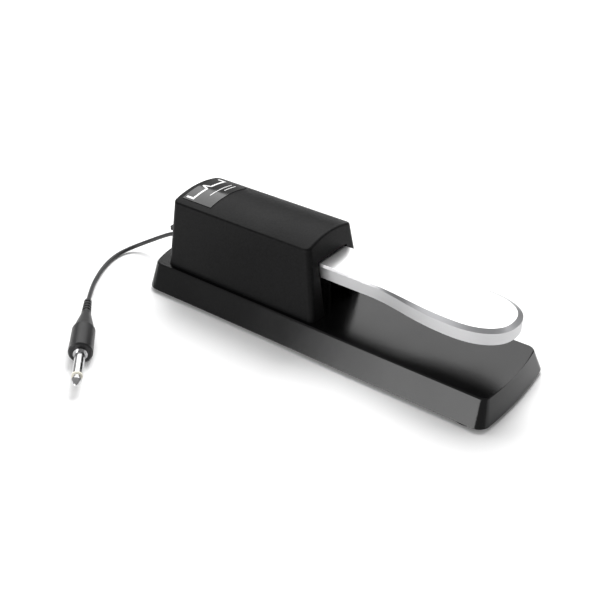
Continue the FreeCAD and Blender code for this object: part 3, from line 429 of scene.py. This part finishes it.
# The side colour is the plate's own; the top colour is a painted highlight and the bevel and
# underside colours are painted shade.
SIDE_PLATE, BEVEL_PAINTED_SHADE, TOP_PAINTED_HIGHLIGHT, UNDERSIDE_PAINTED_SHADE = "bdbdbe", "a8a8aa", "f6f6f6", "2a2a2b"
LINE_RELIEF = 0.35
LINE_DEPTH_MM = 0.02


def plated_lever():
    """One plate whose gloss and lines change between top and sides, with a painted highlight on
    the top and painted shade on the bevel and underside.
    """
    material, tree, shader, place = start("nickel_chrome_plate", metallic=1.0)
    upward, sideways, underside_shade_mask, top_highlight_mask = lever_zones(tree, place)
    drawn_out = add(
        tree, "Mapping", {"vector_type": "POINT"}, {"Scale": LINE_STRETCH},
        {"Vector": place}).outputs["Vector"]
    lines = add(
        tree, "TexNoise", values={"Scale": per_metre(LINE_MM), "Detail": 4.0},
        links={"Vector": drawn_out}).outputs["Fac"]
    side_gloss = add(
        tree, "MapRange", values=noise_to(*SIDE_GLOSS), links={"Value": lines}).outputs["Result"]
    gloss = add(
        tree, "Mix", {"data_type": "FLOAT"}, {NUMBER_B: TOP_GLOSS},
        {MIX_FACTOR: upward, NUMBER_A: side_gloss}).outputs[NUMBER_OUT]

    # Painted shade on the bevel, a painted highlight on the flat top and painted shade on the
    # underside.
    bevel = add(
        tree, "Mix", {"data_type": "RGBA"},
        {COLOUR_A: linear(SIDE_PLATE), COLOUR_B: linear(BEVEL_PAINTED_SHADE)},
        {MIX_FACTOR: upward}).outputs[COLOUR_OUT]
    with_top_highlight = add(
        tree, "Mix", {"data_type": "RGBA"}, {COLOUR_B: linear(TOP_PAINTED_HIGHLIGHT)},
        {MIX_FACTOR: top_highlight_mask, COLOUR_A: bevel}).outputs[COLOUR_OUT]
    colour = add(
        tree, "Mix", {"data_type": "RGBA"}, {COLOUR_B: linear(UNDERSIDE_PAINTED_SHADE)},
        {MIX_FACTOR: underside_shade_mask, COLOUR_A: with_top_highlight}).outputs[COLOUR_OUT]

    side_lines = add(
        tree, "Math", {"operation": "MULTIPLY"}, links={0: lines, 1: sideways}).outputs["Value"]
    relief = add(
        tree, "Bump", values={"Strength": LINE_RELIEF, "Distance": LINE_DEPTH_MM * MM},
        links={"Height": side_lines}).outputs["Normal"]
    wire_up(tree, shader, colour, gloss, relief)
    return material


lever_plate = plated_lever()
print("lever finish", lever_plate.name)

# %% [markdown]
# The bracket, screws and bottom plate are zinc-plated steel, which is greyer
# than chrome and never quite even, so its gloss wanders over a few
# millimetres. The pin, the leaf, the spring and the plug's metal are bright
# nickel, smoother and paler. The terminals are rolled brass, warm and soft
# in its shine.

# %% Zinc, nickel and brass
METAL_RELIEF = 0.15
METAL_DEPTH_MM = 0.02


def plated_metal(name, colour, second, gloss_low, gloss_high, patch_mm):
    """Metal whose colour and gloss wander from patch to patch."""
    material, tree, shader, place = start(name, metallic=1.0)
    patch = add(
        tree, "TexNoise", values={"Scale": per_metre(patch_mm), "Detail": 5.0},
        links={"Vector": place}).outputs["Fac"]
    amount = add(tree, "MapRange", values=noise_to(0.0, 1.0), links={"Value": patch})
    shade = add(
        tree, "Mix", {"data_type": "RGBA"}, {COLOUR_A: linear(colour), COLOUR_B: linear(second)},
        {MIX_FACTOR: amount.outputs["Result"]})
    gloss = add(tree, "MapRange", values=noise_to(gloss_low, gloss_high), links={"Value": patch})
    relief = add(
        tree, "Bump", values={"Strength": METAL_RELIEF, "Distance": METAL_DEPTH_MM * MM},
        links={"Height": patch})
    wire_up(tree, shader, shade.outputs[COLOUR_OUT], gloss.outputs["Result"],
            relief.outputs["Normal"])
    return material


zinc_steel = plated_metal(
    "zinc_plated_steel", "9b9ea1", "c4c7c9", gloss_low=0.28, gloss_high=0.48, patch_mm=3.0)
bright_steel = plated_metal(
    "bright_nickel_steel", "b4b4b5", "cfcfd0", gloss_low=0.14, gloss_high=0.24, patch_mm=2.0)
rolled_brass = plated_metal(
    "rolled_brass", "b08d4a", "d1b06c", gloss_low=0.25, gloss_high=0.4, patch_mm=2.5)
print("metals", [one.name for one in (zinc_steel, bright_steel, rolled_brass)])

# %% [markdown]
# Nitrile rubber is dull and hardly mirrors at all. The cord's soft PVC is
# slightly mottled, and the plug's grip is the same PVC rubbed smooth. Nylon
# is a milky off-white with a waxy sheen, and pressed felt is fibrous and has
# no shine. The label is a gloss acrylic film that shows the light sharply,
# and its mark is a white foil print. All have a plain colour with a fine
# mottle, so one helper makes them all, with a grain and a gloss for each.

# %% Rubber, PVC, nylon, felt, foil and gloss
SOFT_RELIEF = 0.4
GLOSS_SWING = 0.06


def soft_moulding(name, dark, light, gloss, grain_mm, depth_mm, ior=1.5, mirror=0.5):
    """A mottled colour whose gloss swings a little either way."""
    material, tree, shader, place = start(name, ior=ior, specular_ior_level=mirror)
    grain = add(
        tree, "TexNoise", values={"Scale": per_metre(grain_mm), "Detail": 4.0},
        links={"Vector": place}).outputs["Fac"]
    amount = add(tree, "MapRange", values=noise_to(0.0, 1.0), links={"Value": grain})
    colour = add(
        tree, "Mix", {"data_type": "RGBA"}, {COLOUR_A: linear(dark), COLOUR_B: linear(light)},
        {MIX_FACTOR: amount.outputs["Result"]})
    swing = add(
        tree, "MapRange", values=noise_to(gloss - GLOSS_SWING, gloss + GLOSS_SWING),
        links={"Value": grain})
    relief = add(
        tree, "Bump", values={"Strength": SOFT_RELIEF, "Distance": depth_mm * MM},
        links={"Height": grain})
    wire_up(tree, shader, colour.outputs[COLOUR_OUT], swing.outputs["Result"],
            relief.outputs["Normal"])
    return material


foot_rubber = soft_moulding(
    "nitrile_rubber", "080808", "101010", gloss=0.8, grain_mm=0.8, depth_mm=0.05, mirror=0.12)
sheath_pvc = soft_moulding(
    "pvc_cord_sheath", "141415", "262628", gloss=0.42, grain_mm=0.7, depth_mm=0.04)
grip_pvc = soft_moulding(
    "pvc_moulded_grip", "101011", "1b1b1c", gloss=0.40, grain_mm=0.9, depth_mm=0.03, ior=1.45)
bush_nylon = soft_moulding(
    "natural_nylon", "cfcbbb", "dedbcf", gloss=0.45, grain_mm=1.2, depth_mm=0.02, ior=1.53)
stop_felt = soft_moulding(
    "pressed_wool_felt", "1c1c1d", "39393b", gloss=0.95, grain_mm=0.5, depth_mm=0.3)
mark_print = soft_moulding(
    "white_foil_print", "e8e8e8", "f2f2f2", gloss=0.4, grain_mm=0.8, depth_mm=0.002)
label_gloss = soft_moulding(
    "gloss_acrylic_label", "050505", "080808", gloss=0.12, grain_mm=6.0, depth_mm=0.004)
print("materials so far", len(bpy.data.materials))

# %% [markdown]
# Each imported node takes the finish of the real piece. A table of names is
# easier to check than forty assignments.

# %% Give the nodes their finishes
FINISHES = [
    (housing_abs, ["top_cover"]),
    (base_abs, ["base_tray"]),
    (inner_abs, ["switch_body", "polarity_slider", "cord_clamp"]),
    (lever_plate, ["pedal_lever"]),
    (zinc_steel, [
        "bottom_plate", "plate_screws", "cover_screws", "retaining_clips", "pivot_bracket",
        "bracket_screws", "switch_screws", "polarity_switch", "polarity_screws", "clamp_screws",
    ]),
    (bright_steel, ["pivot_pin", "switch_leaf", "plug_sleeve", "plug_tip"]),
    (rolled_brass, ["switch_terminals", "polarity_terminals"]),
    (foot_rubber, [
        "foot_front_left", "foot_front_right", "foot_rear_left", "foot_rear_right",
        "down_stop_pad", "cord_grommet",
    ]),
    (grip_pvc, ["plug_barrel", "plug_strain_relief"]),
    (sheath_pvc, ["inner_cord", "inner_wires"]),
    (bush_nylon, [
        "pivot_bush_left", "pivot_bush_right", "spring_seat", "switch_plunger", "plug_insulator",
    ]),
    (stop_felt, ["up_stop_felt"]),
    (label_gloss, ["label_plate"]),
]


def dress(piece, material):
    """Put one material in every slot of a piece."""
    piece.data.materials.clear()
    piece.data.materials.append(material)


for material, names in FINISHES:
    for name in names:
        dress(nodes[name], material)
dress(cord, sheath_pvc)
dress(label_mark, mark_print)
dress(spring, bright_steel)
dressed = sum(len(names) for material, names in FINISHES)
print("dressed", dressed, "of", len(nodes))

# %% [markdown]
# The floor is a plain white sweep of matte paper, a hair below the feet. It
# is part of the studio, not of the pedal.

# %% Floor
FLOOR_SIZE = 8.0
FLOOR_DROP = 0.2 * MM


def studio_floor():
    """A wide sheet of white paper."""
    material, _, shader, _ = start("white_paper_sweep", roughness=0.9)
    shader.inputs["Base Color"].default_value = linear("f6f6f6")
    bpy.ops.object.select_all(action="DESELECT")
    bpy.ops.mesh.primitive_plane_add(size=FLOOR_SIZE, location=(0, 0, -FLOOR_DROP))
    floor = bpy.context.object
    floor.name = "floor"
    dress(floor, material)
    return floor


floor = studio_floor()
print("floor", rounded(floor.dimensions))

# %% [markdown]
# Catalogue light is a few large soft panels in a dim room. What a black or
# plated surface shows is mostly what it mirrors, so a panel stands where a
# surface sees it: a wide one high behind the pedal for the lever, the deck
# and the crown, and a low one in front on the left that runs along the base.
# The third hangs higher behind and only lifts the floor and the tops. It is
# left out of reflections, because it would put a hard bright patch on the
# gloss base.

# %% Light
ROOM_GLOW = 0.38
PANELS = [
    # name, place, what it faces, width, height, brightness
    ("back_panel", (-0.53, 0.756, 1.182), (0, 0, 0), 2.2, 1.26, 2.4),
    ("side_panel", (-0.12, -0.9, 0.22), (0.05, 0, 0.02), 0.6, 0.4, 6.0),
    ("overhead_panel", (-0.45, 0.95, 1.5), (0, 0, 0), 0.9, 0.9, 9.5),
]


def panel(name, place, aim, width, height, brightness):
    """A soft box whose power follows from its area and how bright it looks."""
    data = bpy.data.lights.new(name, "AREA")
    data.shape = "RECTANGLE"
    data.size = width
    data.size_y = height
    data.energy = brightness * math.pi * width * height
    lamp = bpy.data.objects.new(name, data)
    scene.collection.objects.link(lamp)
    lamp.location = place
    lamp.rotation_euler = (Vector(aim) - Vector(place)).to_track_quat("-Z", "Y").to_euler()
    return lamp


world = bpy.data.worlds.new("studio_room")
world.use_nodes = True
room = world.node_tree.nodes["Background"]
room.inputs["Color"].default_value = (1, 1, 1, 1)
room.inputs["Strength"].default_value = ROOM_GLOW
scene.world = world
lamps = {row[0]: panel(*row) for row in PANELS}
lamps["overhead_panel"].visible_glossy = False
scene.view_settings.view_transform = "Standard"
print("lights", len(lamps))

# %% [markdown]
# Last, the scene is brought up to date now that everything is made.

# %% Finish
bpy.context.view_layer.update()
